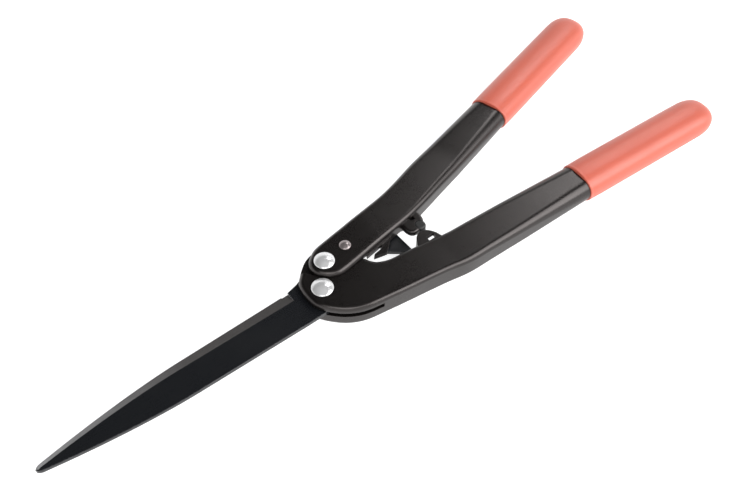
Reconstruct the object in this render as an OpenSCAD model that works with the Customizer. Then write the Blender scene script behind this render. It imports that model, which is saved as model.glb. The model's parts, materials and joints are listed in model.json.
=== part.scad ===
// Hand hedge shears with a geared-down moving blade.
// X runs from the blade tips to the grips, Z points up through the stacked plates.

/* [Blades] */
// Length from the blade pivot to the tip of the upper blade
blade_reach = 220; // [180:5:230]
// Thickness of each blade
blade_t = 3; // [2.8:0.1:3]
// Width of the ground bevel at the root of each blade
bevel_root = 9; // [6:0.5:10]
// Width of the ground bevel at the tip of each blade
bevel_tip = 4; // [3:0.5:5]

/* [Handles] */
// Thickness of the lower handle's lobe, as deep below its middle as above
lobe_t = 15; // [15:0.5:16]
// Further depth of the lobe below that
lobe_drop = 4; // [1:0.5:4]
// Height of the upper handle's flat above the lower handle's
ear_rise = 3.8; // [3.6:0.1:4.5]
// Edge radius along the front of the lower handle
edge_r = 2.5; // [1.5:0.1:2.5]
// Edge radius along the front of the upper handle
ear_edge_r = 2.8; // [1.5:0.1:2.8]
// Thickness of both arms where they enter the grips
arm_t = 19; // [17:0.5:20]
// Width of both arms where they enter the grips
arm_w = 31; // [29:0.5:31]

/* [Grips] */
// Length of each grip sleeve
grip_len = 138; // [120:1:145]
// Width of each grip sleeve
grip_w = 33.4; // [32.5:0.1:35]
// Thickness of each grip sleeve
grip_t = 24; // [22:0.5:26]

/* [Rivets] */
// Head diameter of the blade pivot's rivet
head_d = 16; // [14:0.5:16]
// Head diameter of the handle pivot's rivet
hinge_head_d = 15; // [14:0.2:16]
// Head diameter of the small drive rivet
small_head_d = 8.8; // [8:0.2:10]
// Height of the domed heads
dome_h = 2.4; // [1.5:0.1:3]
// Shank diameter of the blade pivot
pivot_d = 10; // [8:0.5:10]
// Shank diameter of the handle pivot
hinge_d = 8; // [7:0.5:8.5]
// Radial running clearance of the turning joints
run_gap = 0.05; // [0.02:0.01:0.08]

/* [Hidden] */
$fn = 96;

// The middle of the resting tool's footprint becomes the origin.
to_origin = [-66.2, -22.4, grip_t / 2];
// Handle pivot and drive pin, measured from the blade pivot at [0, 0].
hinge = [13.5, 15.5];
drive = [33.5, 17.5];
// Blade degrees for each degree of the upper handle, and the handle's full swing.
ratio = 0.495;
swing = 65;

// Axis of the round rubber bumper, and thickness of the tail collars.
bumper_at = [90.4, 1.3];
collar_t = 1.6;

// Levels through the stack, with the moving blade around z = 0.
lobe_z = lobe_t / 2;
lobe_low = -lobe_z - lobe_drop;
slot_top = 2.4;
slot_floor = -blade_t / 2 - 0.2;
fixed_top = -blade_t / 2 - 0.1;
fixed_low = fixed_top - blade_t;
recess_z = 4.6;
ear_low = 5.3;
ear_top = lobe_z + ear_rise;

// Arm axes: a point on each and its direction in degrees.
lower_axis = [104, -31, -3.6];
upper_axis = [104.2, 30.7, 14.7];
lower_grip_at = 110.5;
upper_grip_at = 112;

function along(axis, s) =
    [axis[0] + s * cos(axis[2]), axis[1] + s * sin(axis[2])];
function beside(axis, s, off) =
    along(axis, s) + off * [-sin(axis[2]), cos(axis[2])];
function polar(c, r, a) = c + r * [cos(a), sin(a)];
function turned(p, a) =
    [p[0] * cos(a) - p[1] * sin(a), p[0] * sin(a) + p[1] * cos(a)];

// A smooth curve through control points, two steps to each span.
function knot(p, i) = p[min(max(i, 0), len(p) - 1)];
function curve_at(p, i, t) = 0.5 * (2 * knot(p, i) + t * (knot(p, i + 1) - knot(p, i - 1))
    + t * t * (2 * knot(p, i - 1) - 5 * knot(p, i) + 4 * knot(p, i + 1) - knot(p, i + 2))
    + t * t * t * (3 * knot(p, i) - knot(p, i - 1) - 3 * knot(p, i + 1) + knot(p, i + 2)));
function smooth(p, n = 2) = concat(
    [for (i = [0 : len(p) - 2]) for (k = [0 : n - 1]) curve_at(p, i, k / n)],
    [p[len(p) - 1]]);

// Outer walls of the lower handle in plan, from the front lobe back to the grip.
lower_near = smooth(concat(
    [[-13.1, -1], [-12.7, -6], [-11.3, -10], [-8.8, -14], [-5.2, -18.4], [-0.5, -23.2],
     [5, -27.3], [11, -30.4], [16, -32.1], [19.5, -32.95], [22.5, -33.45], [25.2, -33.9],
     [28, -34.35], [31.5, -34.9], [36, -35.65], [41, -36.5], [47, -37.4], [55, -38.6],
     [66, -40.2], [81, -42.6]],
    [for (s = [-4 : 19.4 : 113]) beside(lower_axis, s, -arm_w / 2)]));
lower_far = smooth(concat(
    [[-13.1, 1], [-12.8, 5.5], [-12, 10], [-10, 14.6], [-6, 18.8], [-1, 23.2],
     [4, 26.8], [9, 29], [14, 29.7], [20, 28.2], [25.3, 23.5], [27.7, 17],
     [28.9, 11.4], [33.5, 6.8], [39.4, 3.2], [41.7, -1], [45.2, -5], [53, -8.4],
     [65, -10], [81, -12.2]],
    [for (s = [-4 : 19.4 : 113]) beside(lower_axis, s, arm_w / 2)]));

// Outer walls of the upper handle in plan, from its round ear back to the grip.
upper_near = smooth(concat(
    [for (a = [174 : 17 : 230]) polar(hinge, 11.3, a)],
    [[8, 4.9], [11.8, 2.3], [16.5, 0.7], [22, 0.7], [30, 1.7], [40, 3.2], [50, 4.8],
     [60, 6.3], [70, 7.8], [80, 9.3], [90, 11.1]],
    [[105, 14.6]],
    [for (s = [24 : 18 : 114]) beside(upper_axis, s, -arm_w / 2)]));
upper_far = smooth(concat(
    [for (a = [162 : -17 : 120]) polar(hinge, 11.3, a)],
    [[9.6, 26.7], [13.6, 28.9], [17.5, 30], [22, 30.8], [27, 31.5], [33, 32.4],
     [41, 33.5], [50, 34.9], [60, 36.3], [70, 37.8], [79, 39.2], [88, 41]],
    [[101, 44.6]],
    [for (s = [24 : 18 : 114]) beside(upper_axis, s, arm_w / 2)]));

// How the section changes along the arms, by X.
lower_top = [[90, lobe_z], [214, arm_t / 2]];
lower_floor = [[90, lobe_low], [214, -arm_t / 2]];
upper_top = [[58, ear_top], [150, 8.6], [214, arm_t / 2]];
upper_floor = [[58.5, ear_low], [61, -1], [78, -1], [84, -4.8], [100, -5.6],
    [150, -8.5], [214, -arm_t / 2]];
side_round = [[80, edge_r], [150, 6], [214, 10]];
face_round = [[80, edge_r], [150, 5.5], [214, arm_t / 2 - 0.2]];
ear_round = [[90, ear_edge_r], [150, 6], [214, 10]];
ear_face_round = [[90, ear_edge_r], [150, 5.5], [214, arm_t / 2 - 0.2]];
floor_round = [[56, 0.6], [62, 0.6], [84, 2], [150, 5.5], [214, arm_t / 2 - 0.2]];

// Inward direction at point i of a closed outline, square to the arm at its cut end.
function inward(p, i, cut) =
    let (n = len(p),
         a = i == cut + 1 ? p[i] : p[(i + n - 1) % n],
         b = i == cut ? p[i] : p[(i + 1) % n],
         t = (b - a) / norm(b - a))
    [-t[1], t[0]];

// A plate between two walls, with rounded edges whose size follows X.
module rounded_slab(near, far, top, floor_z, side, face, low_face) {
    n = len(near);
    outline = concat(near, [for (i = [n - 1 : -1 : 0]) far[i]]);
    m = len(outline);
    steps = [0 : 22.5 : 90];
    rings = concat(
        [for (a = steps) [for (i = [0 : m - 1])
            let (p = outline[i], x = p[0], e = lookup(x, side) * (1 - sin(a)),
                 h = lookup(x, low_face) * (1 - cos(a)), q = p + e * inward(outline, i, n - 1))
            [q[0], q[1], lookup(x, floor_z) + h]]],
        [for (a = [90 : -22.5 : 0]) [for (i = [0 : m - 1])
            let (p = outline[i], x = p[0], e = lookup(x, side) * (1 - sin(a)),
                 h = lookup(x, face) * (1 - cos(a)), q = p + e * inward(outline, i, n - 1))
            [q[0], q[1], lookup(x, top) - h]]]);
    k = len(rings);
    points = [for (r = rings) for (p = r) p];
    walls = [for (j = [0 : k - 2]) for (i = [0 : m - 1])
        [j * m + i, (j + 1) * m + i, (j + 1) * m + (i + 1) % m, j * m + (i + 1) % m]];
    under = [for (i = [0 : n - 2]) [i, i + 1, m - 2 - i, m - 1 - i]];
    over = [for (i = [0 : n - 2])
        (k - 1) * m * [1, 1, 1, 1] + [m - 1 - i, m - 2 - i, i + 1, i]];
    polyhedron(points, concat(walls, under, over), convexity = 10);
}

// A tapered oval sleeve with a rounded end, lying along +X from its open end.
module grip_body(length) {
    ring = 40;
    stations = [[0, 0.955], [0.5, 0.984], [2.6, 0.978], [5, 0.988], [14, 0.998],
        [24, 1], [80, 1], [length - 20, 0.998], [length - 14, 0.98], [length - 9.5, 0.935],
        [length - 5.2, 0.845], [length - 2.2, 0.7], [length - 0.6, 0.5], [length, 0.22]];
    function oval(a) = [pow(abs(cos(a)), 0.86) * sign(cos(a)), pow(abs(sin(a)), 0.86) * sign(sin(a))];
    points = [for (s = stations) for (i = [0 : ring - 1])
        let (o = oval(i * 360 / ring))
        [s[0], s[1] * grip_w / 2 * o[0], s[1] * grip_t / 2 * o[1]]];
    last = len(stations) - 1;
    walls = [for (j = [0 : last - 1]) for (i = [0 : ring - 1])
        [j * ring + i, j * ring + (i + 1) % ring, (j + 1) * ring + (i + 1) % ring, (j + 1) * ring + i]];
    polyhedron(points, concat(walls,
        [[for (i = [ring - 1 : -1 : 0]) i]],
        [[for (i = [0 : ring - 1]) last * ring + i]]), convexity = 4);
}

// The solid core that each arm sends into its grip.
module tenon(extra = 0) {
    for (side = [-5, 5])
        translate([-12, side, 0]) rotate([0, 90, 0]) cylinder(d = 14, h = grip_len - 8 + extra);
    translate([-12, -5, -7]) cube([grip_len - 8 + extra, 10, 14]);
}

module on_axis(axis, s) {
    p = along(axis, s);
    translate([p[0], p[1], 0]) rotate([0, 0, axis[2]]) children();
}

// A domed rivet head standing on z = 0.
module dome(d) {
    r = d / 2;
    ball = (r * r + dome_h * dome_h) / (2 * dome_h);
    cylinder(r = r, h = 0.5);
    translate([0, 0, 0.5]) intersection() {
        cylinder(r = r, h = dome_h + 1);
        translate([0, 0, dome_h - ball]) sphere(r = ball);
    }
}

// Far and near edges of the closed blades in plan.
function taper(x) = max(0, (-112 - x) / (blade_reach - 115.5));
function far_edge(x) = 16 - 9.4 * pow(taper(x), 1.65);
function near_edge(x) = -14.9 + 0.026 * (-24.5 - x) + 9.7 * pow(taper(x), 1.7);
function bevel_at(x) = lookup(x, [[-blade_reach, bevel_tip], [-110, 7.2], [-24, bevel_root]]);

// The stations of a blade: even steps, then a rounded tip.
function blade_x(reach) = concat([for (x = [-24.5 : -8 : 16 - reach]) x],
    [for (a = [0 : 15 : 75]) 4 - reach - 4 * sin(a)]);
function tip_squeeze(x, reach) = x > 4 - reach ? 1 : sqrt(max(0.02, 1 - pow((4 - reach - x) / 4, 2)));

// A blade from z = 0 up, with its cutting edge at z = 0 and on its left as it points away.
// A flipped one is the mirror plan, so that turned over it matches the other's outline.
module blade_body(reach, trim, flipped) {
    xs = blade_x(reach);
    last = len(xs) - 1;
    points = [for (x = xs)
        let (lead = flipped ? -near_edge(x) - trim : far_edge(x),
             back = flipped ? -far_edge(x) + trim : near_edge(x),
             mid = (lead + back) / 2, q = tip_squeeze(x, reach),
             f = mid + (lead - mid) * q, n = mid + (back - mid) * q,
             b = min(bevel_at(x), (f - n) * 0.72))
        each [[x, n, 0], [x, f, 0], [x, f, 0.25], [x, f - b, blade_t], [x, n, blade_t]]];
    walls = [for (j = [0 : last - 1]) for (i = [0 : 4])
        [j * 5 + i, j * 5 + (i + 1) % 5, (j + 1) * 5 + (i + 1) % 5, (j + 1) * 5 + i]];
    polyhedron(points, concat(walls, [[4, 3, 2, 1, 0]],
        [[for (i = [0 : 4]) last * 5 + i]]), convexity = 4);
}

// How far the drive pin travels outwards in its slot over the swing.
slot_run = max([for (a = [0 : 1 : swing]) norm(pin_in_blade(a))]) - norm(drive) + 0.2;

// Where the drive pin stands in the moving blade when the handle is open by a degrees.
function pin_in_blade(a) = turned(hinge + turned(drive - hinge, a), -ratio * a);

module lower_handle() {
    lug = [[84, -19], [76, -16], [76.2, -12.5], [79, -7.7], [81, -5.2], [83.6, -3.9],
        [86.9, -3.3], [89.4, -3.9], [91.6, -5.6], [93.6, -8], [94.9, -10.6], [95.6, -13],
        [95.6, -17]];
    color([0.13, 0.125, 0.125]) translate(to_origin) difference() {
        union() {
            rounded_slab(lower_near, lower_far, lower_top, lower_floor,
                side_round, face_round, face_round);
            translate([0, 0, -5]) linear_extrude(12) polygon(lug);
            on_axis(lower_axis, lower_grip_at) tenon();
        }
        // Slot that the moving blade swings in.
        translate([0, 0, slot_floor]) linear_extrude(slot_top - slot_floor)
            polygon([[-40, -60], [28, -60], [28, -28], [41.5, -9], [60, 0], [60, 60], [-40, 60]]);
        // Pocket for the fixed blade's tang.
        translate([0, 0, fixed_low - 0.1]) linear_extrude(blade_t + 0.3) tang_outline(0.1);
        // Recess that the upper handle's ear turns in.
        translate([0, 0, recess_z]) linear_extrude(10) recess_outline();
        // Rivet holes.
        translate([0, 0, -20]) cylinder(d = pivot_d, h = 40);
        translate([hinge[0], hinge[1], -20]) cylinder(d = hinge_d, h = 40);
        translate([72.8, -13, -20]) cylinder(d = 3.2, h = 23);
        // Counterbores that take the tail collars.
        translate([0, 0, lobe_low - 5]) cylinder(d = head_d - 0.8, h = 5 + collar_t);
        translate([hinge[0], hinge[1], lobe_low - 5]) cylinder(d = head_d - 1.8, h = 5 + collar_t);
        // Window through the stop lug and the hollow under it.
        translate([86, -14.3, -20]) cube([6.4, 3.7, 40]);
        translate([84.6, -15.4, -20]) cube([12, 13, 24]);
    }
}

// Plan of the recess, which leaves a wall beside the pivot's head.
module recess_outline() {
    translate(hinge) circle(r = 11.8);
    polygon([[-4.5, 19.4], [-1.6, 16.6], [0.6, 13.6], [2.2, 11.6], [13.5, 15.5], [13.5, 40],
        [-20, 40], [-20, 30]]);
    polygon([[6.5, 6], [7.7, 4.5], [11.6, 1.9], [16.4, 0.3], [22, 0.2], [30, 1.2], [40, 2.7],
        [60, 5], [60, 40], [13.5, 40], [8, 20]]);
}

module upper_handle() {
    boss = [[79.6, 14], [78.8, 9], [78.7, 3], [79.6, 0], [81.6, -1.9], [85, -2.2],
        [88.5, -1.6], [93.5, 0.8], [96.2, 4.6], [97.2, 8.6], [97.2, 15]];
    color([0.13, 0.125, 0.125]) translate(to_origin) difference() {
        union() {
            rounded_slab(upper_near, upper_far, upper_top, upper_floor,
                ear_round, ear_face_round, floor_round);
            translate([0, 0, 1.6]) linear_extrude(5.6) polygon(boss);
            translate([0, 0, 1.7]) linear_extrude(3.2) polygon([[46.3, 0.2], [52.5, -1.4],
                [56.5, -2.2], [62, 2.5], [70, 9.5], [62, 9.5], [55.3, 2.9], [48.3, 1.9]]);
            // Skirt that hangs from the inner wall beside the slotted lobe.
            translate([0, 0, 2.9]) linear_extrude(3.2) polygon([[42, 2.8], [50, 4],
                [60, 5.5], [68, 7.2], [68, 13], [58, 12], [44, 7.5]]);
            on_axis(upper_axis, upper_grip_at) tenon();
        }
        translate([hinge[0], hinge[1], 0]) cylinder(d = hinge_d + 3, h = 30);
        translate([drive[0], drive[1], 0]) cylinder(d = 5, h = 30);
        // Square hole in the boss and the seat of the bumper.
        translate([86.6, 7.6, 2]) cube([4.4, 3.2, 6]);
        translate([bumper_at[0], bumper_at[1], -10]) cylinder(r = 4.2, h = 30);
    }
}

module grip_on(axis, s) {
    on_axis(axis, s) difference() {
        grip_body(grip_len);
        translate([-8, 0, 0]) tenon();
        translate([-10, -arm_w / 2 - 5, -20]) cube([10, arm_w + 10, 40]);
        // Counterbore that takes the end of the arm.
        translate([-1, 0, 0]) rotate([0, 90, 0]) cylinder(d = 15, h = 3);
    }
}

module lower_grip() {
    color([0.95, 0.42, 0.36]) translate(to_origin) grip_on(lower_axis, lower_grip_at);
}

module upper_grip() {
    color([0.95, 0.42, 0.36]) translate(to_origin) grip_on(upper_axis, upper_grip_at);
}

// Tang of the fixed blade in plan, grown by g for its pocket.
module tang_outline(g = 0) {
    polygon([[-30, -9 - g], [-12, -9 - g], [0, -10 - g], [14, -5 - g], [26, 3 - g],
        [36, 9.5 - g], [46, 12.5 - g], [57.6, 12.5 - g], [59.4 - g, 10.5], [58.3 - g, 3.2],
        [66.5, -3.4 - g], [69.6 - g, -6.5], [69.6 - g, -16 - g], [75.5 + g, -16 - g],
        [75.5 + g, 21 + g], [60, 23 + g], [40, 25 + g], [26, 26.4 + g], [14, 25.4 + g],
        [6, 23 + g], [0, 18 + g], [-8, 13.4 + g], [-30, 12.4 + g]]);
}

module fixed_blade() {
    color([0.2, 0.21, 0.23]) translate(to_origin) difference() {
        union() {
            translate([0, 0, fixed_top]) rotate([180, 0, 0])
                blade_body(blade_reach - 3, 1, true);
            translate([0, 0, fixed_low]) linear_extrude(blade_t) tang_outline();
        }
        translate([0, 0, -20]) cylinder(d = pivot_d, h = 40);
        translate([hinge[0], hinge[1], -20]) cylinder(d = hinge_d, h = 40);
        translate([72.8, -13, -20]) cylinder(d = 3.2, h = 40);
    }
}

// Tang of the moving blade in plan: a round shoulder and an eye for the drive pin.
module drive_plate() {
    circle(r = 20);
    polygon(concat([[-27, -14.7]],
        [for (q = [[20, -24], [31, -19], [37, -12], [39.5, -3], [40, 5], [41.5, 11]])
            polar([0, 0], q[0], q[1])],
        [for (a = [-30 : 15 : 70]) polar(pin_in_blade(swing / 2), 8.6, a)],
        [for (q = [[38, 44], [32.5, 54], [28.5, 64], [25.5, 74], [22, 85], [20, 100]])
            polar([0, 0], q[0], q[1])],
        [[-10.6, 16.9], [-19, 15.1], [-27, 15.1]]));
}

module moving_blade() {
    reach_a = atan2(hinge[1], hinge[0]);
    color([0.2, 0.21, 0.23]) translate(to_origin) difference() {
        translate([0, 0, -blade_t / 2]) union() {
            blade_body(blade_reach, 0, false);
            difference() {
                linear_extrude(blade_t) drive_plate();
                // The bevel runs out at a square step beside the neck.
                translate([-30, 16 - bevel_root, blade_t]) rotate([-17, 0, 0]) cube([10.4, 20, 6]);
            }
        }
        translate([0, 0, -20]) cylinder(d = pivot_d + 4, h = 40);
        // Curved window that clears the handle pivot.
        translate([0, 0, -20]) rotate([0, 0, reach_a - 36]) rotate_extrude(angle = 38)
            translate([norm(hinge) - hinge_d / 2 - 0.7, 0]) square([hinge_d + 1.4, 40]);
        for (a = [reach_a - 36, reach_a + 2])
            translate(concat(polar([0, 0], norm(hinge), a), [-20]))
                cylinder(d = hinge_d + 1.3, h = 40);
        // Slot for the drive roller, which follows the pin through the swing.
        rotate([0, 0, atan2(drive[1], drive[0])]) {
            translate([norm(drive), -3.75, -20]) cube([slot_run, 7.5, 40]);
            for (r = [0, slot_run])
                translate([norm(drive) + r, 0, -20]) cylinder(r = 3.75, h = 40);
        }
    }
}

module blade_pivot_rivet() {
    color([0.8, 0.81, 0.83]) translate(to_origin) {
        translate([0, 0, lobe_z]) dome(head_d);
        translate([0, 0, lobe_low])
            cylinder(d = pivot_d - 2 * run_gap, h = lobe_z - lobe_low + 0.1);
    }
}

module blade_pivot_collar() {
    color([0.7, 0.71, 0.73]) translate(to_origin) translate([0, 0, lobe_low])
        difference() {
            cylinder(d = head_d - 1, h = collar_t);
            translate([0, 0, -1]) cylinder(d = pivot_d - 2 * run_gap, h = 4);
        }
}

module blade_pivot_bush() {
    color([0.72, 0.6, 0.35]) translate(to_origin) translate([0, 0, -blade_t / 2])
        difference() {
            cylinder(d = pivot_d + 4, h = blade_t);
            translate([0, 0, -1]) cylinder(d = pivot_d, h = blade_t + 2);
        }
}

module blade_washer() {
    color([0.7, 0.71, 0.73]) translate(to_origin) translate([0, 0, blade_t / 2 + 0.1])
        difference() {
            cylinder(d = head_d + 2, h = slot_top - blade_t / 2 - 0.12);
            translate([0, 0, -1]) cylinder(d = pivot_d + 0.2, h = 4);
        }
}

module handle_pivot_rivet() {
    color([0.8, 0.81, 0.83]) translate(to_origin) translate([hinge[0], hinge[1], 0]) {
        translate([0, 0, ear_top + 0.1]) dome(hinge_head_d);
        translate([0, 0, lobe_low])
            cylinder(d = hinge_d - 2 * run_gap, h = ear_top - lobe_low + 0.2);
    }
}

module handle_pivot_collar() {
    color([0.7, 0.71, 0.73]) translate(to_origin)
        translate([hinge[0], hinge[1], lobe_low]) difference() {
            cylinder(d = head_d - 2, h = collar_t);
            translate([0, 0, -1]) cylinder(d = hinge_d - 2 * run_gap, h = 4);
        }
}

module handle_pivot_bush() {
    color([0.72, 0.6, 0.35]) translate(to_origin)
        translate([hinge[0], hinge[1], ear_low + 0.05]) difference() {
            cylinder(d = hinge_d + 3, h = ear_top - ear_low - 0.1);
            translate([0, 0, -1]) cylinder(d = hinge_d, h = 9);
        }
}

module handle_pivot_washer() {
    color([0.7, 0.71, 0.73]) translate(to_origin)
        translate([hinge[0], hinge[1], recess_z]) difference() {
            cylinder(d = 20, h = 0.6);
            translate([0, 0, -1]) cylinder(d = hinge_d + 0.1, h = 3);
        }
}

module drive_rivet() {
    color([0.8, 0.81, 0.83]) translate(to_origin) translate([drive[0], drive[1], 0]) {
        translate([0, 0, ear_top]) intersection() {
            dome(small_head_d);
            cylinder(d = small_head_d, h = 2.2);
        }
        translate([0, 0, -1.4]) cylinder(d = 5, h = ear_top + 1.5);
    }
}

module drive_roller() {
    color([0.72, 0.6, 0.35]) translate(to_origin) translate([drive[0], drive[1], -1.4])
        difference() {
            cylinder(r = 3.6, h = 2.8);
            translate([0, 0, -1]) cylinder(d = 5, h = 5);
        }
}

module drive_washer() {
    color([0.7, 0.71, 0.73]) translate(to_origin) translate([drive[0], drive[1], 1.7])
        difference() {
            cylinder(d = 11, h = ear_low - 1.7);
            translate([0, 0, -1]) cylinder(d = 5, h = 9);
        }
}

module bumper() {
    color([0.06, 0.06, 0.06]) translate(to_origin)
        translate([bumper_at[0], bumper_at[1], -1.5]) cylinder(r = 4.2, h = 8.9);
}

module bumper_plug() {
    color([0.1, 0.1, 0.1]) translate(to_origin)
        translate([86.6, 7.6, 2]) cube([4.4, 3.2, 2.4]);
}

module tang_pin() {
    color([0.6, 0.61, 0.63]) translate(to_origin)
        translate([72.8, -13, lobe_low]) cylinder(d = 3.2, h = 10 + lobe_drop);
}

lower_handle();
upper_handle();
lower_grip();
upper_grip();
fixed_blade();
moving_blade();
blade_pivot_rivet();
blade_pivot_collar();
blade_pivot_bush();
blade_washer();
handle_pivot_rivet();
handle_pivot_collar();
handle_pivot_bush();
handle_pivot_washer();
drive_rivet();
drive_roller();
drive_washer();
bumper();
bumper_plug();
tang_pin();
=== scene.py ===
"""Hedge shears: the looks of the tool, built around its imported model.

Sizes are in millimetres around the blade pivot, with z = 0 at the middle of the moving
blade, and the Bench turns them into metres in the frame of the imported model.
"""
import json
import logging
import math
from dataclasses import dataclass, field, replace
from enum import Enum

import bpy
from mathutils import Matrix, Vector


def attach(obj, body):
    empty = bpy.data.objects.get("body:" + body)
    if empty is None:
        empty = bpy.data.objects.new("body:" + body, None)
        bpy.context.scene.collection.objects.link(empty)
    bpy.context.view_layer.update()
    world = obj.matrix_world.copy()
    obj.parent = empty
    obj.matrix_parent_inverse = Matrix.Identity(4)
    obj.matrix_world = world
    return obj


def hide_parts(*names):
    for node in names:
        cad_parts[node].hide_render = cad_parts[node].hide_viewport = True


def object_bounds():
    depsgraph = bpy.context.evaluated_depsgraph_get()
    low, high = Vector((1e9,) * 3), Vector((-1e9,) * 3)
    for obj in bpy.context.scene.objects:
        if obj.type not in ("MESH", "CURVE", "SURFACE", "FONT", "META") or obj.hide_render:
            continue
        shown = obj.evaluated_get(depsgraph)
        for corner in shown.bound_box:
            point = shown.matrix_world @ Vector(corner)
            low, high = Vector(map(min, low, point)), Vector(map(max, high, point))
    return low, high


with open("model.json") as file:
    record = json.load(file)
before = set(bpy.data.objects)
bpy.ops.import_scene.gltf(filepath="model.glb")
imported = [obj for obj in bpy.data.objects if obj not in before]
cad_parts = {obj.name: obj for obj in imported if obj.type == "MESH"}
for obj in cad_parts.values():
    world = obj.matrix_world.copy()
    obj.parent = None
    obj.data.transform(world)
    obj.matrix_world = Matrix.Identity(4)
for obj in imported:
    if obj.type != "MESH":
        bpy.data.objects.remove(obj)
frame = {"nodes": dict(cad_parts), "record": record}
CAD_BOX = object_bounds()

LOG = logging.getLogger("shears")
MM = 0.001
PIVOT = (0.0, 0.0)
Flat = tuple[float, float]
Table = tuple[Flat, ...]
Colour = tuple[float, float, float]


class Body(Enum):
    """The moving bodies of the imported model."""

    LOWER = "lower_side"
    UPPER = "upper_side"
    BLADE = "blade_side"


class Finish(Enum):
    """The record's material slots."""

    NYLON = "handle_nylon"
    GRIP = "grip_plastic"
    BLADE = "blade_steel"
    RIVET = "rivet_steel"
    BRASS = "bush_brass"
    RUBBER = "bumper_rubber"


# ---------------------------------------------------------------- plane geometry


def lookup(table: Table, x: float) -> float:
    """Value of a table of (x, value) pairs at x, on straight lines between its rows.

    Args:
        table: Rows in rising x.
        x: Where to read it.

    Returns:
        The value, held constant beyond both ends.
    """
    if x <= table[0][0]:
        return table[0][1]
    for (xa, va), (xb, vb) in zip(table, table[1:]):
        if x <= xb:
            return va + (vb - va) * (x - xa) / (xb - xa)
    return table[-1][1]


def smooth(points: list[Flat], steps: int) -> list[Flat]:
    """A smooth curve through control points.

    Args:
        points: Control points in order.
        steps: Steps to each span.

    Returns:
        Points of the curve, with both ends.
    """
    last = len(points) - 1
    curve = []
    for i in range(last):
        before, here = points[max(i - 1, 0)], points[i]
        there, after = points[i + 1], points[min(i + 2, last)]
        for k in range(steps):
            t = k / steps
            curve.append(
                tuple(
                    0.5 * (2 * b + t * (c - a)
                           + t * t * (2 * a - 5 * b + 4 * c - d)
                           + t ** 3 * (3 * b - a - 3 * c + d))
                    for a, b, c, d in zip(before, here, there, after)
                )
            )
    return curve + [points[last]]


def closed_smooth(points: list[Flat], steps: int) -> list[Flat]:
    """A smooth closed curve through control points.

    Args:
        points: Corner points, anticlockwise.
        steps: Steps to each span.

    Returns:
        Points of the loop, without repeating the first.
    """
    wrapped = points[-2:] + points + points[:3]
    whole = smooth(wrapped, steps)
    return whole[2 * steps:(2 + len(points)) * steps]


def polar(centre: Flat, radius: float, degrees: float) -> Flat:
    """Point at a radius and an angle from a centre."""
    a = math.radians(degrees)
    return (centre[0] + radius * math.cos(a), centre[1] + radius * math.sin(a))


def arc(centre: Flat, radius: float, start: float, end: float, steps: int) -> list[Flat]:
    """Points of an arc from one angle to another, both ends included."""
    return [polar(centre, radius, start + (end - start) * k / steps) for k in range(steps + 1)]


def turned(point: Flat, degrees: float) -> Flat:
    """Point turned about the blade pivot."""
    a = math.radians(degrees)
    return (point[0] * math.cos(a) - point[1] * math.sin(a),
            point[0] * math.sin(a) + point[1] * math.cos(a))


def inward(loop: list[Flat], i: int, cut: int = -9) -> Flat:
    """Inward unit direction of an anticlockwise loop at one of its points.

    Args:
        loop: The closed loop.
        i: Which point.
        cut: Index of a straight end's first point, where the direction stays square.

    Returns:
        The unit direction towards the inside.
    """
    n = len(loop)
    a = loop[i] if i == cut + 1 else loop[(i - 1) % n]
    b = loop[i] if i == cut else loop[(i + 1) % n]
    dx, dy = b[0] - a[0], b[1] - a[1]
    size = math.hypot(dx, dy) or 1.0
    return (-dy / size, dx / size)


def walls(rows: int, around: int) -> list[tuple]:
    """Faces between neighbouring rings of points, each ring closed on itself."""
    return [(j * around + i, j * around + (i + 1) % around,
             (j + 1) * around + (i + 1) % around, (j + 1) * around + i)
            for j in range(rows - 1) for i in range(around)]


@dataclass(frozen=True)
class Axis:
    """The middle line of an arm in plan."""

    x: float
    y: float
    degrees: float

    def point(self, along: float, off: float = 0.0) -> Flat:
        """Point at a distance along the axis and off to its left."""
        a = math.radians(self.degrees)
        return (self.x + along * math.cos(a) - off * math.sin(a),
                self.y + along * math.sin(a) + off * math.cos(a))


# ---------------------------------------------------------------- mesh making


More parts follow.
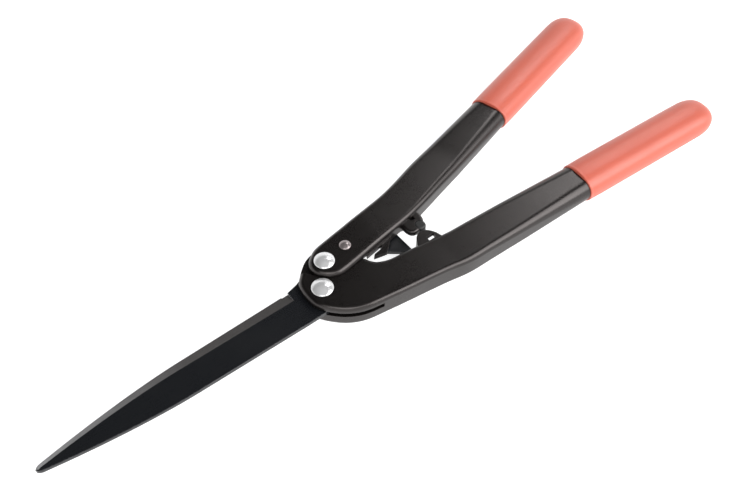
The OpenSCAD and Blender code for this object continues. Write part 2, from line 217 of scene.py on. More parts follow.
class Bench:
    """Makes meshes from sizes in millimetres around the blade pivot."""

    def __init__(self, home: Vector) -> None:
        """Keeps the place of the blade pivot, in metres in the model's frame."""
        self.home = home

    def place(self, x: float, y: float, z: float) -> Vector:
        """A point of the tool, in metres."""
        return self.home + MM * Vector((x, y, z))

    def mesh(self, name: str, points: list, faces: list) -> bpy.types.Object:
        """An object from points in millimetres.

        Args:
            name: Name of the object.
            points: Its points.
            faces: Point numbers of each face.

        Returns:
            The object, in the scene.
        """
        data = bpy.data.meshes.new(name)
        data.from_pydata([self.place(*p) for p in points], [], faces)
        data.validate()
        data.update()
        made = bpy.data.objects.new(name, data)
        bpy.context.scene.collection.objects.link(made)
        return made

    def rings(self, name: str, rings: list[list]) -> bpy.types.Object:
        """A closed solid through equal rings of points, its two ends flat faces.

        Args:
            name: Name of the object.
            rings: Rings of equally many points, anticlockwise and from the bottom up.

        Returns:
            The object.
        """
        m = len(rings[0])
        points = [p for ring in rings for p in ring]
        faces = walls(len(rings), m)
        faces.append(tuple(range(m - 1, -1, -1)))
        faces.append(tuple((len(rings) - 1) * m + i for i in range(m)))
        return self.mesh(name, points, faces)

    def prism(self, name: str, loop: list[Flat], low: float, high: float,
              soft: float = 0.0, steps: int = 5) -> bpy.types.Object:
        """An upright solid over a plan, with rounded edges if soft isn't 0.

        Args:
            name: Name of the object.
            loop: Anticlockwise plan.
            low: Its underside.
            high: Its top.
            soft: Radius of the edges.
            steps: Steps round each edge.

        Returns:
            The object.
        """
        if soft <= 0:
            return self.rings(name, [[(x, y, z) for x, y in loop] for z in (low, high)])
        rings = []
        ways = [inward(loop, i) for i in range(len(loop))]
        turns = [math.pi / 2 * k / steps for k in range(steps + 1)]
        for base, way, order in ((low, 1, turns), (high, -1, turns[::-1])):
            for a in order:
                inset, rise = soft * (1 - math.sin(a)), soft * (1 - math.cos(a))
                rings.append([(x + inset * u, y + inset * v, base + way * rise)
                              for (x, y), (u, v) in zip(loop, ways)])
        return self.rings(name, rings)

    def drum(self, name: str, centre: Flat, radius: float, low: float, high: float,
             soft: float = 0.0) -> bpy.types.Object:
        """An upright round solid."""
        loop = [polar(centre, radius, a * 360 / 72) for a in range(72)]
        return self.prism(name, loop, low, high, soft)

    def block(self, name: str, corner: tuple, size: tuple,
              soft: float = 0.0) -> bpy.types.Object:
        """A box from its low corner and its size, with rounded edges if soft isn't 0.

        Args:
            name: Name of the object.
            corner: Its low corner.
            size: Its width, depth and height.
            soft: Radius of the edges.

        Returns:
            The object.
        """
        (x, y, z), (w, d, h) = corner, size
        if soft <= 0:
            loop = [(x, y), (x + w, y), (x + w, y + d), (x, y + d)]
        else:
            loop = []
            for cx, cy, start in ((x + w - soft, y + soft, -90), (x + w - soft, y + d - soft, 0),
                                  (x + soft, y + d - soft, 90), (x + soft, y + soft, 180)):
                loop += arc((cx, cy), soft, start, start + 90, 6)
        return self.prism(name, loop, z, z + h, soft * 0.9)

    def lathe(self, name: str, centre: Flat, profile: list[Flat],
              count: int = 96) -> bpy.types.Object:
        """A turned solid: the profile gives (radius, z) from its bottom axis to its top axis.

        Args:
            name: Name of the object.
            centre: Its axis in plan.
            profile: Rows of (radius, z).
            count: Steps round the axis.

        Returns:
            The object.
        """
        cx, cy = centre
        points, faces, rows = [], [], []
        for radius, z in profile:
            if radius < 1e-6:
                rows.append([len(points)] * count)
                points.append((cx, cy, z))
                continue
            rows.append(list(range(len(points), len(points) + count)))
            points += [(*polar(centre, radius, 360 * k / count), z) for k in range(count)]
        for low, high in zip(rows, rows[1:]):
            for k in range(count):
                q = (k + 1) % count
                face = [low[k], low[q], high[q], high[k]]
                faces.append(tuple(dict.fromkeys(face)))
        return self.mesh(name, points, faces)


def carve(target: bpy.types.Object, tools: list[bpy.types.Object], way: str) -> None:
    """Cuts tools from an object, or joins them to it, and drops the tools.

    Args:
        target: The object that changes.
        tools: Closed solids.
        way: DIFFERENCE or UNION.
    """
    for tool in tools:
        step = target.modifiers.new("carve", "BOOLEAN")
        step.operation, step.object, step.solver = way, tool, "EXACT"
        step.use_self = way == "UNION"
        bpy.context.view_layer.update()
        seen = target.evaluated_get(bpy.context.evaluated_depsgraph_get())
        made = bpy.data.meshes.new_from_object(seen)
        target.modifiers.clear()
        old, target.data = target.data, made
        bpy.data.meshes.remove(old)
        bpy.data.objects.remove(tool)


def shade(thing: bpy.types.Object, sharp: float = 34.0) -> None:
    """Smooth shading that keeps edges sharper than an angle, with flats left flat.

    Args:
        thing: The piece.
        sharp: Angle in degrees above which an edge stays sharp.
    """
    thing.data.polygons.foreach_set("use_smooth", [True] * len(thing.data.polygons))
    thing.data.set_sharp_from_angle(angle=math.radians(sharp))
    weighted = thing.modifiers.new("flats", "WEIGHTED_NORMAL")
    weighted.keep_sharp = True
    weighted.weight = 60


def coat(thing: bpy.types.Object, paint: bpy.types.Material, sharp: float = 34.0) -> None:
    """One paint all over a piece, and its shading.

    Args:
        thing: The piece.
        paint: Its material.
        sharp: Angle in degrees above which an edge stays sharp.
    """
    thing.data.materials.clear()
    thing.data.materials.append(paint)
    shade(thing, sharp)


def settle(thing: bpy.types.Object, body: Body, finish: Finish, *nodes: str) -> None:
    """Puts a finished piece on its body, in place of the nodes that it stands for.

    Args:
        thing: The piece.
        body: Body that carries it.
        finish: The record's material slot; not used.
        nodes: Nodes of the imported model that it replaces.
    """
    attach(thing, body.value)
    if nodes:
        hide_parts(*nodes)
    LOG.info("%s: %d faces on %s", thing.name, len(thing.data.polygons), body.value)


# ---------------------------------------------------------------- shader graphs


class Graph:
    """A shader tree while it is wired."""

    def __init__(self, tree: bpy.types.NodeTree) -> None:
        """Starts on an empty tree."""
        self.tree = tree

    def link(self, source: bpy.types.NodeSocket, socket: bpy.types.NodeSocket) -> None:
        """A wire from one socket to another."""
        self.tree.links.new(source, socket)

    def feed(self, socket: bpy.types.NodeSocket, value: object) -> None:
        """Fills a socket with another's output, a number, or a colour without its alpha.

        Args:
            socket: The input.
            value: What goes in.
        """
        if isinstance(value, bpy.types.NodeSocket):
            self.link(value, socket)
        elif isinstance(value, tuple):
            socket.default_value = (*value, 1.0)
        else:
            socket.default_value = value

    def spot(self) -> bpy.types.NodeSocket:
        """The place on the object, in its own space."""
        return self.add("TexCoord").outputs["Object"]

    def add(self, kind: str, **settings: object) -> bpy.types.Node:
        """A new node; a setting named after a socket fills it, others are attributes.

        Args:
            kind: Node type without its ShaderNode prefix.
            settings: Attributes, or inputs written as i_Name or i_0 for their number.

        Returns:
            The node.
        """
        made = self.tree.nodes.new("ShaderNode" + kind)
        late = {}
        for key, value in settings.items():
            if key.startswith("i_"):
                late[key[2:].replace("_", " ")] = value
            else:
                setattr(made, key, value)
        for key, value in late.items():
            self.feed(made.inputs[int(key)] if key.isdigit() else made.inputs[key], value)
        return made

    def math(self, operation: str, *values: object) -> bpy.types.NodeSocket:
        """Output of a Math node on sockets or numbers.

        Args:
            operation: What the node does.
            values: Its inputs in order.

        Returns:
            The result.
        """
        made = self.tree.nodes.new("ShaderNodeMath")
        made.operation = operation
        for socket, value in zip(made.inputs, values):
            self.feed(socket, value)
        return made.outputs[0]

    def vary(self, base: object, mask: bpy.types.NodeSocket,
             amount: float) -> bpy.types.NodeSocket:
        """A base value moved up and down by a mask that stands around one half."""
        return self.math("ADD", base, self.math(
            "MULTIPLY", self.math("SUBTRACT", mask, 0.5), amount))

    def spread(self, value: bpy.types.NodeSocket, *ends: object) -> bpy.types.NodeSocket:
        """A value mapped from its first two ends to the last two, and clamped.

        Args:
            value: The value.
            ends: From low, from high, to low and to high.

        Returns:
            The mapped value.
        """
        made = self.add("MapRange")
        for socket, source in zip(made.inputs, (value, *ends)):
            self.feed(socket, source)
        return made.outputs[0]

    def blend(self, mask: object, first: object, second: object) -> bpy.types.NodeSocket:
        """Colour that goes from the first to the second with a mask.

        Args:
            mask: 0 for the first, 1 for the second.
            first: A colour or a socket.
            second: A colour or a socket.

        Returns:
            The colour.
        """
        made = self.add("Mix", data_type="RGBA")
        for number, value in zip((0, 6, 7), (mask, first, second)):
            self.feed(made.inputs[number], value)
        return made.outputs[2]


class Effects:
    """The node groups that several finishes share, each built once."""

    def __init__(self) -> None:
        """Builds every group."""
        self.grain = self._grain()
        self.wear_and_highlight = self._wear_and_highlight()
        self.mottle = self._mottle()
        self.strokes = self._strokes()

    @staticmethod
    def _start(name: str, inputs: dict[str, float],
               outputs: tuple[str, ...]) -> tuple[Graph, dict, dict]:
        """An empty group with its sockets.

        Args:
            name: Name of the group.
            inputs: Input names and their defaults.
            outputs: Output names; Normal is a vector.

        Returns:
            Its graph, its inputs by name and its outputs by name.
        """
        tree = bpy.data.node_groups.new(name, "ShaderNodeTree")
        for title, default in inputs.items():
            made = tree.interface.new_socket(name=title, in_out="INPUT",
                                             socket_type="NodeSocketFloat")
            made.default_value = default
        for title in outputs:
            kind = "NodeSocketVector" if title == "Normal" else "NodeSocketFloat"
            tree.interface.new_socket(name=title, in_out="OUTPUT", socket_type=kind)
        start, end = tree.nodes.new("NodeGroupInput"), tree.nodes.new("NodeGroupOutput")
        return Graph(tree), {s.name: s for s in start.outputs}, {s.name: s for s in end.inputs}

    def _grain(self) -> bpy.types.NodeTree:
        """Fine leathery texture left by an etched mould.

        Returns:
            The group, which gives Height and Speckle.
        """
        graph, take, give = self._start("MouldGrain", {"Scale": 900.0}, ("Height", "Speckle"))
        cells = graph.add("TexVoronoi", feature="F1", i_Vector=graph.spot(),
                          i_Scale=take["Scale"])
        fine = graph.add("TexNoise", i_Vector=graph.spot(), i_Detail=3.0,
                         i_Scale=graph.math("MULTIPLY", take["Scale"], 1.7))
        height = graph.math("ADD", graph.math("MULTIPLY", cells.outputs["Distance"], 0.6),
                            graph.math("MULTIPLY", fine.outputs[0], 0.6))
        graph.link(height, give["Height"])
        graph.link(graph.spread(fine.outputs[0], 0.35, 0.7, 0.0, 1.0),
                             give["Speckle"])
        return graph.tree

    def _wear_and_highlight(self) -> bpy.types.NodeTree:
        """Rounded edges, and a mask of the edges, where they are scuffed and carry a painted
        highlight.

        Returns:
            The group, which gives Mask and Normal.
        """
        graph, take, give = self._start(
            "EdgeWearAndHighlight", {"Radius": 0.0004, "Gain": 6.0, "Breakup": 220.0}, ("Mask", "Normal"))
        soft = graph.add("Bevel", samples=6, i_Radius=take["Radius"])
        plain = graph.add("NewGeometry")
        dot = graph.add("VectorMath", operation="DOT_PRODUCT", i_0=soft.outputs[0],
                        i_1=plain.outputs["Normal"])
        patch = graph.add("TexNoise", i_Vector=graph.spot(), i_Detail=4.0,
                          i_Scale=take["Breakup"])
        edge = graph.math("MULTIPLY", graph.math("SUBTRACT", 1.0, dot.outputs["Value"]),
                          take["Gain"])
        # Edge mask broken up by noise: where the finish goes to its edge colour, as scuffing and
        # as a painted edge highlight.
        mask = graph.math("MULTIPLY", edge, graph.spread(patch.outputs[0], 0.4, 0.62, 0.0, 1.0))
        graph.link(graph.spread(mask, 0.0, 1.0, 0.0, 1.0), give["Mask"])
        graph.link(soft.outputs[0], give["Normal"])
        return graph.tree

    def _mottle(self) -> bpy.types.NodeTree:
        """Cloudy unevenness such as handling leaves, from Low to High.

        Returns:
            The group, which gives Value.
        """
        graph, take, give = self._start("Mottle", {"Scale": 40.0, "Low": 0.0, "High": 1.0},
                                        ("Value",))
        cloud = graph.add("TexNoise", i_Vector=graph.spot(), i_Detail=5.0, i_Roughness=0.62,
                          i_Scale=take["Scale"])
        graph.link(graph.spread(cloud.outputs[0], 0.3, 0.7, take["Low"], take["High"]),
                   give["Value"])
        return graph.tree

    def _strokes(self) -> bpy.types.NodeTree:
        """Parallel strokes of a grinding belt, closer along X or along Y.

        Returns:
            The group, which gives Value.
        """
        graph, take, give = self._start("Strokes", {"AcrossX": 900.0, "AcrossY": 30.0},
                                        ("Value",))
        parts = graph.add("SeparateXYZ", i_Vector=graph.spot())
        squeezed = graph.add("CombineXYZ", i_X=graph.math("MULTIPLY", parts.outputs[0],
                                                          take["AcrossX"]),
                             i_Y=graph.math("MULTIPLY", parts.outputs[1], take["AcrossY"]),
                             i_Z=graph.math("MULTIPLY", parts.outputs[2], 60.0))
        lines = graph.add("TexNoise", i_Vector=squeezed.outputs[0], i_Scale=1.0, i_Detail=4.0,
                          i_Roughness=0.7)
        graph.link(lines.outputs[0], give["Value"])
        return graph.tree


@dataclass(frozen=True)
class Coat:
    """A finish: its colour, its gloss and the marks on it."""

    name: str
    colour: Colour
    # Edge colour: scuffing, and a painted edge highlight where it is lighter than the colour.
    edge_colour: Colour
    rough: float
    rough_vary: float = 0.08
    metal: float = 0.0
    specular: float = 0.5
    # Colour of the reflections; the nylon's warm tint is a painted tint of the light.
    gloss_tint: Colour = (1.0, 1.0, 1.0)
    grain_scale: float = 900.0
    grain_depth: float = 0.00004
    edge_radius: float = 0.0004
    # How far the edges go to the edge colour, as scuffing and as painted highlight.
    edge_wear_and_highlight: float = 0.25
    mottle_scale: float = 40.0
    mottle_tint: float = 0.2
    sheen: float = 0.0
    stroke_across: Flat = (0.0, 0.0)
    stroke_depth: float = 0.0
    stroke_gloss: float = 0.25
    fade: tuple[float, float, Colour] | None = None

    def build(self, effects: Effects) -> bpy.types.Material:
        """The finish as a material.

        Args:
            effects: The shared node groups.

        Returns:
            A new material.
        """
        made = bpy.data.materials.new(self.name)
        made.use_nodes = True
        made.node_tree.nodes.clear()
        graph = Graph(made.node_tree)
        surface = graph.add("BsdfPrincipled", i_Metallic=self.metal)
        surface.inputs["Specular IOR Level"].default_value = self.specular
        # Specular Tint: on the nylon, a painted warm tint of the light in its reflections.
        surface.inputs["Specular Tint"].default_value = (*self.gloss_tint, 1.0)
        surface.inputs["Sheen Weight"].default_value = self.sheen
        out = graph.add("OutputMaterial")
        graph.link(surface.outputs[0], out.inputs[0])

        wear_and_highlight = self._group(graph, effects.wear_and_highlight, Radius=self.edge_radius)
        cloud = self._group(graph, effects.mottle, Scale=self.mottle_scale)
        grain = self._group(graph, effects.grain, Scale=self.grain_scale)
        base: object = self.colour
        if self.fade:
            start, end, far = self.fade
            spot = graph.add("SeparateXYZ", i_0=graph.spot())
            base = graph.blend(graph.spread(spot.outputs[0], start, end, 0.0, 1.0), base, far)
        dark = tuple(c * (1 - self.mottle_tint) for c in self.colour)
        shade_mask = graph.math("MULTIPLY", cloud.outputs["Value"],
                                self.mottle_tint if self.fade else 1.0)
        colour = graph.blend(shade_mask, base, dark)
        # Edges go to the edge colour: scuffing, and a painted edge highlight where that colour
        # is lighter.
        edge_mix = graph.math("MULTIPLY", wear_and_highlight.outputs["Mask"], self.edge_wear_and_highlight)
        colour = graph.blend(edge_mix, colour, self.edge_colour)
        graph.link(colour, surface.inputs["Base Color"])

        rough = graph.vary(self.rough, cloud.outputs["Value"], self.rough_vary)
        rough = graph.vary(rough, grain.outputs["Speckle"], self.rough_vary * 0.6)
        height = graph.math("MULTIPLY", grain.outputs["Height"], self.grain_depth / MM)
        if self.stroke_depth:
            lines = self._group(graph, effects.strokes, AcrossX=self.stroke_across[0],
                                AcrossY=self.stroke_across[1])
            height = graph.math("ADD", height, graph.math(
                "MULTIPLY", lines.outputs["Value"], self.stroke_depth / MM))
            rough = graph.vary(rough, lines.outputs["Value"], self.stroke_gloss)
        graph.link(rough, surface.inputs["Roughness"])
        bump = graph.add("Bump", i_Strength=1.0, i_Distance=MM, i_Height=height,
                         i_Normal=wear_and_highlight.outputs["Normal"])
        graph.link(bump.outputs[0], surface.inputs["Normal"])
        return made

    @staticmethod
    def _group(graph: Graph, tree: bpy.types.NodeTree, **values: float) -> bpy.types.Node:
        """A group placed in a material, with its own values.

        Args:
            graph: The material's graph.
            tree: The group.
            values: Inputs of the group by name.

        Returns:
            The placed group.
        """
        made = graph.add("Group", node_tree=tree)
        for key, value in values.items():
            made.inputs[key].default_value = value
        return made


# The second colour of each finish is its edge colour: scuffing and, where it is lighter, a
# painted edge highlight.
NYLON = Coat("black_nylon", (0.004, 0.0034, 0.0032), (0.04, 0.036, 0.034), 0.29,
             rough_vary=0.05, specular=0.55, gloss_tint=(1.0, 0.92, 0.9), grain_scale=1500.0,
             grain_depth=0.000008, mottle_scale=30.0, mottle_tint=0.3)
CORAL = Coat("coral_sleeve", (0.5, 0.1, 0.062), (0.7, 0.22, 0.17), 0.38,
             grain_scale=1100.0, grain_depth=0.00001, edge_wear_and_highlight=0.2, mottle_scale=25.0,
             mottle_tint=0.07, sheen=0.05)
COATING = Coat("black_blade_coating", (0.007, 0.0078, 0.0095), (0.2, 0.2, 0.21), 0.3,
               rough_vary=0.12, grain_scale=2200.0, grain_depth=0.000006,
               edge_radius=0.0003, edge_wear_and_highlight=0.6, mottle_scale=18.0, mottle_tint=0.25,
               stroke_across=(25.0, 1100.0), stroke_depth=0.000001, stroke_gloss=0.05)
GROUND = Coat("ground_bevel", (0.035, 0.031, 0.03), (0.5, 0.5, 0.52), 0.4, metal=0.5,
              rough_vary=0.14, grain_scale=2600.0, grain_depth=0.000004, edge_radius=0.0002,
              edge_wear_and_highlight=0.8, mottle_scale=60.0, mottle_tint=0.3,
              stroke_across=(1500.0, 40.0), stroke_depth=0.00001,
              fade=(-0.16, -0.28, (0.16, 0.16, 0.165)))
BARE = Coat("bare_edge", (0.55, 0.56, 0.58), (0.9, 0.9, 0.92), 0.3, metal=1.0,
            rough_vary=0.1, edge_radius=0.0001, edge_wear_and_highlight=0.3, grain_depth=0.000002,
            mottle_scale=80.0, stroke_across=(1500.0, 40.0), stroke_depth=0.000006)
POLISHED = Coat("polished_rivet", (0.68, 0.68, 0.685), (0.45, 0.45, 0.46), 0.2, metal=0.5,
                rough_vary=0.12, grain_scale=1200.0, grain_depth=0.000002,
                edge_radius=0.00015, edge_wear_and_highlight=0.3, mottle_scale=160.0, mottle_tint=0.1)
DULL = replace(POLISHED, name="dull_rivet", colour=(0.26, 0.225, 0.225),
               edge_colour=(0.4, 0.38, 0.38), metal=0.6, mottle_tint=0.15)
PLATED = Coat("plated_steel", (0.6, 0.61, 0.63), (0.8, 0.8, 0.82), 0.3, metal=1.0,
              rough_vary=0.15, grain_depth=0.000004, edge_radius=0.0002, edge_wear_and_highlight=0.5,
              mottle_scale=120.0, mottle_tint=0.2)
BRASS = Coat("bearing_brass", (0.72, 0.52, 0.24), (0.85, 0.68, 0.38), 0.34, metal=1.0,
             rough_vary=0.15, grain_depth=0.000004, edge_radius=0.0002, mottle_scale=140.0)
RUBBER = Coat("moulded_rubber", (0.01, 0.01, 0.01), (0.05, 0.05, 0.05), 0.5,
              grain_scale=1800.0, grain_depth=0.00001, edge_radius=0.0003,
              mottle_scale=90.0)
PALE_FLOOR = Coat("pale_floor", (0.45, 0.45, 0.45), (0.45, 0.45, 0.45), 0.8,
                  rough_vary=0.05, specular=0.2, grain_scale=300.0, grain_depth=0.000002,
                  edge_wear_and_highlight=0.0, mottle_scale=3.0, mottle_tint=0.01)


class Paints:
    """Every finish, built once."""

    def __init__(self) -> None:
        """Builds the shared groups and the materials."""
        effects = Effects()
        self.nylon = NYLON.build(effects)
        self.coral = CORAL.build(effects)
        self.coating = COATING.build(effects)
        self.ground = GROUND.build(effects)
        self.bare = BARE.build(effects)
        self.polished = POLISHED.build(effects)
        self.dull = DULL.build(effects)
        self.plated = PLATED.build(effects)
        self.brass = BRASS.build(effects)
        self.rubber = RUBBER.build(effects)
        self.floor = PALE_FLOOR.build(effects)


# ---------------------------------------------------------------- the tool


@dataclass(frozen=True)
class Stack:
    """Levels through the plates, and the places and sizes that several pieces share."""

    hinge: Flat = (13.5, 15.5)
    drive: Flat = (33.5, 17.5)
    ratio: float = 0.495
    swing: float = 65.0
    lobe: float = 7.5
    lobe_low: float = -11.5
    blade_t: float = 3.0
    slot_top: float = 2.4
    slot_floor: float = -1.7
    fixed_top: float = -1.6
    recess: float = 4.6
    ear_low: float = 5.3
    ear_top: float = 11.3
    arm_w: float = 31.0
    arm_t: float = 19.0
    lower_axis: Axis = Axis(104.0, -31.0, -3.6)
    upper_axis: Axis = Axis(104.2, 30.7, 14.7)
    tang_hole: Flat = (72.8, -13.0)
    pad: Flat = (90.4, 1.3)
    pad_r: float = 4.2
    square: tuple[float, float, float] = (86.6, 7.6, 2.0)
    square_size: Flat = (4.4, 3.2)
    collar_t: float = 1.6

    def drive_in_blade(self, degrees: float) -> Flat:
        """Where the drive pin stands in the blade when the upper handle is open."""
        dx, dy = turned((self.drive[0] - self.hinge[0], self.drive[1] - self.hinge[1]), degrees)
        return turned((self.hinge[0] + dx, self.hinge[1] + dy), -self.ratio * degrees)


@dataclass
class Assembly:
    """What every sub-assembly works with."""

    bench: Bench
    paints: Paints


@dataclass
class Shell:
    """A handle's plate between two walls in plan, with edges rounded as X gives them."""

    near: list[Flat]
    far: list[Flat]
    top: Table
    floor: Table
    side: Table
    face: Table
    under: Table
    steps: int = 6
    turns: int = 8

    def build(self, bench: Bench, name: str) -> bpy.types.Object:
        """The solid plate.

        Args:
            bench: Where meshes are made.
            name: Name of the object.

        Returns:
            The object, closed.
        """
        near, far = smooth(self.near, self.steps), smooth(self.far, self.steps)
        n = len(near)
        loop = near + far[::-1]
        m = len(loop)
        ways = [inward(loop, i, n - 1) for i in range(m)]
        quarter = [math.pi / 2 * k / self.turns for k in range(self.turns + 1)]
        points = []
        for level, round_z, way, order in ((self.floor, self.under, 1, quarter),
                                           (self.top, self.face, -1, quarter[::-1])):
            for a in order:
                for (x, y), (u, v) in zip(loop, ways):
                    inset = lookup(self.side, x) * (1 - math.sin(a))
                    rise = lookup(round_z, x) * (1 - math.cos(a))
                    points.append((x + inset * u, y + inset * v, lookup(level, x) + way * rise))
        rows = 2 * len(quarter)
        faces = walls(rows, m)
        last = (rows - 1) * m
        for i in range(n - 1):
            faces.append((m - 1 - i, m - 2 - i, i + 1, i))
            faces.append((last + i, last + i + 1, last + m - 2 - i, last + m - 1 - i))
        return bench.mesh(name, points, faces)


@dataclass
class Handle(Assembly):
    """What both handles share."""

    stack: Stack

    def build(self) -> bpy.types.Object:
        """The whole handle, which each kind makes in its own way."""
        raise NotImplementedError

    def _dress_on(self, body: Body, node: str) -> None:
        """Builds the handle, paints it and sets it on its body.

        Args:
            body: Body that carries it.
            node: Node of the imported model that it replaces.
        """
        made = self.build()
        coat(made, self.paints.nylon)
        settle(made, body, Finish.NYLON, node)


@dataclass
class LowerHandle(Handle):
    """The handle that holds both pivots: a forked lobe, a stop lug and an arm."""

    edge: float = 3.5

    def _shell(self) -> Shell:
        """Walls, levels and roundings of the plate.

        Returns:
            The plate, ready to build.
        """
        stack = self.stack
        arm = [-4 + 19.4 * k for k in range(7)]
        near = [(-13.1, -1), (-12.7, -6), (-11.3, -10), (-8.8, -14), (-5.2, -18.4),
                (-0.5, -23.2), (5, -27.3), (11, -30.4), (16, -32.1), (19.5, -32.95),
                (22.5, -33.45), (25.2, -33.9), (28, -34.35), (31.5, -34.9), (36, -35.65),
                (41, -36.5), (47, -37.4), (55, -38.6), (66, -40.2), (81, -42.6)]
        far = [(-13.1, 1), (-12.8, 5.5), (-12, 10), (-10, 14.6), (-6, 18.8), (-1, 23.2),
               (4, 26.8), (9, 29), (14, 29.7), (20, 28.2), (25.3, 23.5), (27.7, 17),
               (28.9, 11.4), (33.5, 6.8), (39.4, 3.2), (41.7, -1), (45.2, -5), (53, -8.4),
               (65, -10), (81, -12.2)]
        near += [stack.lower_axis.point(s, -stack.arm_w / 2) for s in arm]
        far += [stack.lower_axis.point(s, stack.arm_w / 2) for s in arm]
        edges = ((80.0, self.edge), (150.0, 6.0), (214.0, 10.0))
        faces = ((80.0, self.edge), (150.0, 5.5), (214.0, stack.arm_t / 2 - 0.2))
        return Shell(near, far, ((90.0, stack.lobe), (214.0, stack.arm_t / 2)),
                     ((90.0, stack.lobe_low), (214.0, -stack.arm_t / 2)), edges, faces, faces)

    def _recess(self) -> list[bpy.types.Object]:
        """The pocket that the upper handle's ear turns in.

        Returns:
            Solids to cut away.
        """
        stack, bench = self.stack, self.bench
        plans = (
            arc(stack.hinge, 11.8, 0, 355, 71),
            [(-4.5, 19.4), (-1.6, 16.6), (0.6, 13.6), (2.2, 11.6), (13.5, 15.5), (13.5, 40),
             (-20, 40), (-20, 30)],
            [(6.5, 6), (7.7, 4.5), (11.6, 1.9), (16.4, 0.3), (22, 0.2), (30, 1.2), (40, 2.7),
             (60, 5), (60, 40), (13.5, 40), (8, 20)],
        )
        return [bench.prism("recess", plan, stack.recess, stack.recess + 10)
                for plan in plans]

    def build(self) -> bpy.types.Object:
        """The whole handle: the plate, its lug, and all that is cut from them.

        Returns:
            The object, closed.
        """
        bench, stack = self.bench, self.stack
        body = self._shell().build(bench, "lower_handle_body")
        lug = closed_smooth([(84, -19), (95.4, -18), (95.6, -13), (94.7, -10.4), (93.4, -8),
                             (91.6, -5.7), (89.4, -4.1), (86.9, -3.5), (83.8, -4.1),
                             (81.2, -5.4), (79.2, -7.9), (76.4, -12.5), (76.2, -16)], 5)
        carve(body, [bench.prism("lug", lug, -5, 7, soft=0.9)], "UNION")
        slot = [(-40, -60), (28, -60), (28, -28), (41.5, -9), (60, 0), (60, 60), (-40, 60)]
        tang = [(-40, -12), (14, -5), (46, 10), (58.3, 3.2), (66.5, -3.4), (69.5, -6.5),
                (69.5, -16.1), (75.6, -16.1), (75.6, 21), (60, 40), (-40, 40)]
        deep, floor = stack.lobe_low - 5, stack.lobe_low + stack.collar_t
        cuts = [
            bench.prism("slot", slot, stack.slot_floor, stack.slot_top),
            bench.prism("pocket", tang, -4.7, -1.4),
            bench.block("window", (86, -14.3, -20), (6.4, 3.7, 40)),
            bench.block("hollow", (84.6, -15.4, -20), (12, 13, 24)),
            bench.drum("counterbore", PIVOT, 7.6, deep, floor),
            bench.drum("counterbore", stack.hinge, 7.1, deep, floor),
        ]
        carve(body, cuts + self._recess(), "DIFFERENCE")
        return body

    def dress(self) -> None:
        """Puts the handle on the lower side."""
        self._dress_on(Body.LOWER, "lower_handle")


@dataclass
class UpperHandle(Handle):
    """The handle that turns on the other: a flat round ear, a boss and an arm."""

    edge: float = 3.7

    def _shell(self) -> Shell:
        """Walls, levels and roundings of the plate.

        Returns:
            The plate, ready to build.
        """
        stack = self.stack
        arm = [24 + 18 * k for k in range(6)]
        near = arc(stack.hinge, 11.3, 174, 225, 3)
        near += [(8, 4.9), (11.8, 2.3), (16.5, 0.7), (22, 0.7), (30, 1.7), (40, 3.2),
                 (50, 4.8), (60, 6.3), (70, 7.8), (80, 9.3), (90, 11.1), (105, 14.6)]
        far = arc(stack.hinge, 11.3, 162, 128, 2)
        far += [(9.6, 26.7), (13.6, 28.9), (17.5, 30), (22, 30.8), (27, 31.5), (33, 32.4),
                (41, 33.5), (50, 34.9), (60, 36.3), (70, 37.8), (79, 39.2), (88, 41),
                (101, 44.6)]
        near += [stack.upper_axis.point(s, -stack.arm_w / 2) for s in arm]
        far += [stack.upper_axis.point(s, stack.arm_w / 2) for s in arm]
        return Shell(
            near, far, ((58.0, stack.ear_top), (150.0, 8.6), (214.0, stack.arm_t / 2)),
            ((58.5, stack.ear_low), (61.0, -1.0), (78.0, -1.0), (84.0, -4.8), (100.0, -5.6),
             (150.0, -8.5), (214.0, -stack.arm_t / 2)),
            ((90.0, self.edge), (150.0, 6.0), (214.0, 10.0)),
            ((90.0, self.edge), (150.0, 5.5), (214.0, stack.arm_t / 2 - 0.2)),
            ((56.0, 0.6), (62.0, 0.6), (84.0, 2.0), (150.0, 5.5),
             (214.0, stack.arm_t / 2 - 0.2)))

    def build(self) -> bpy.types.Object:
        """The whole handle: the plate, its boss and prong, and what is cut from them.

        Returns:
            The object, closed.
        """
        bench, stack = self.bench, self.stack
        body = self._shell().build(bench, "upper_handle_body")
        boss = closed_smooth([(92, 18.5), (84.5, 18), (80.4, 14), (79, 9), (78.9, 4),
                              (80, 0.3), (82.4, -1.7), (85.6, -2), (89, -1.2), (93.3, 1.2),
                              (96.2, 5), (97, 9.5), (96.2, 14.5)], 5)
        prong = [(46.3, 0.2), (52.5, -1.4), (56.5, -2.2), (62, 2.5), (70, 9.5), (62, 9.5),
                 (55.3, 2.9), (48.3, 1.9)]
        skirt = [(42, 2.8), (50, 4), (60, 5.5), (68, 7.2), (68, 13), (58, 12), (44, 7.5)]
        carve(body, [bench.prism("boss", boss, 1.6, 7.2, soft=2.0),
                     bench.prism("prong", prong, 1.7, 4.9),
                     bench.prism("skirt", skirt, 2.9, 6.1)], "UNION")
        carve(body, [bench.block("square", stack.square, (*stack.square_size, 6)),
                     bench.drum("seat", stack.pad, stack.pad_r, -10, 20)], "DIFFERENCE")
        return body

    def dress(self) -> None:
        """Puts the handle on the upper side."""
        self._dress_on(Body.UPPER, "upper_handle")


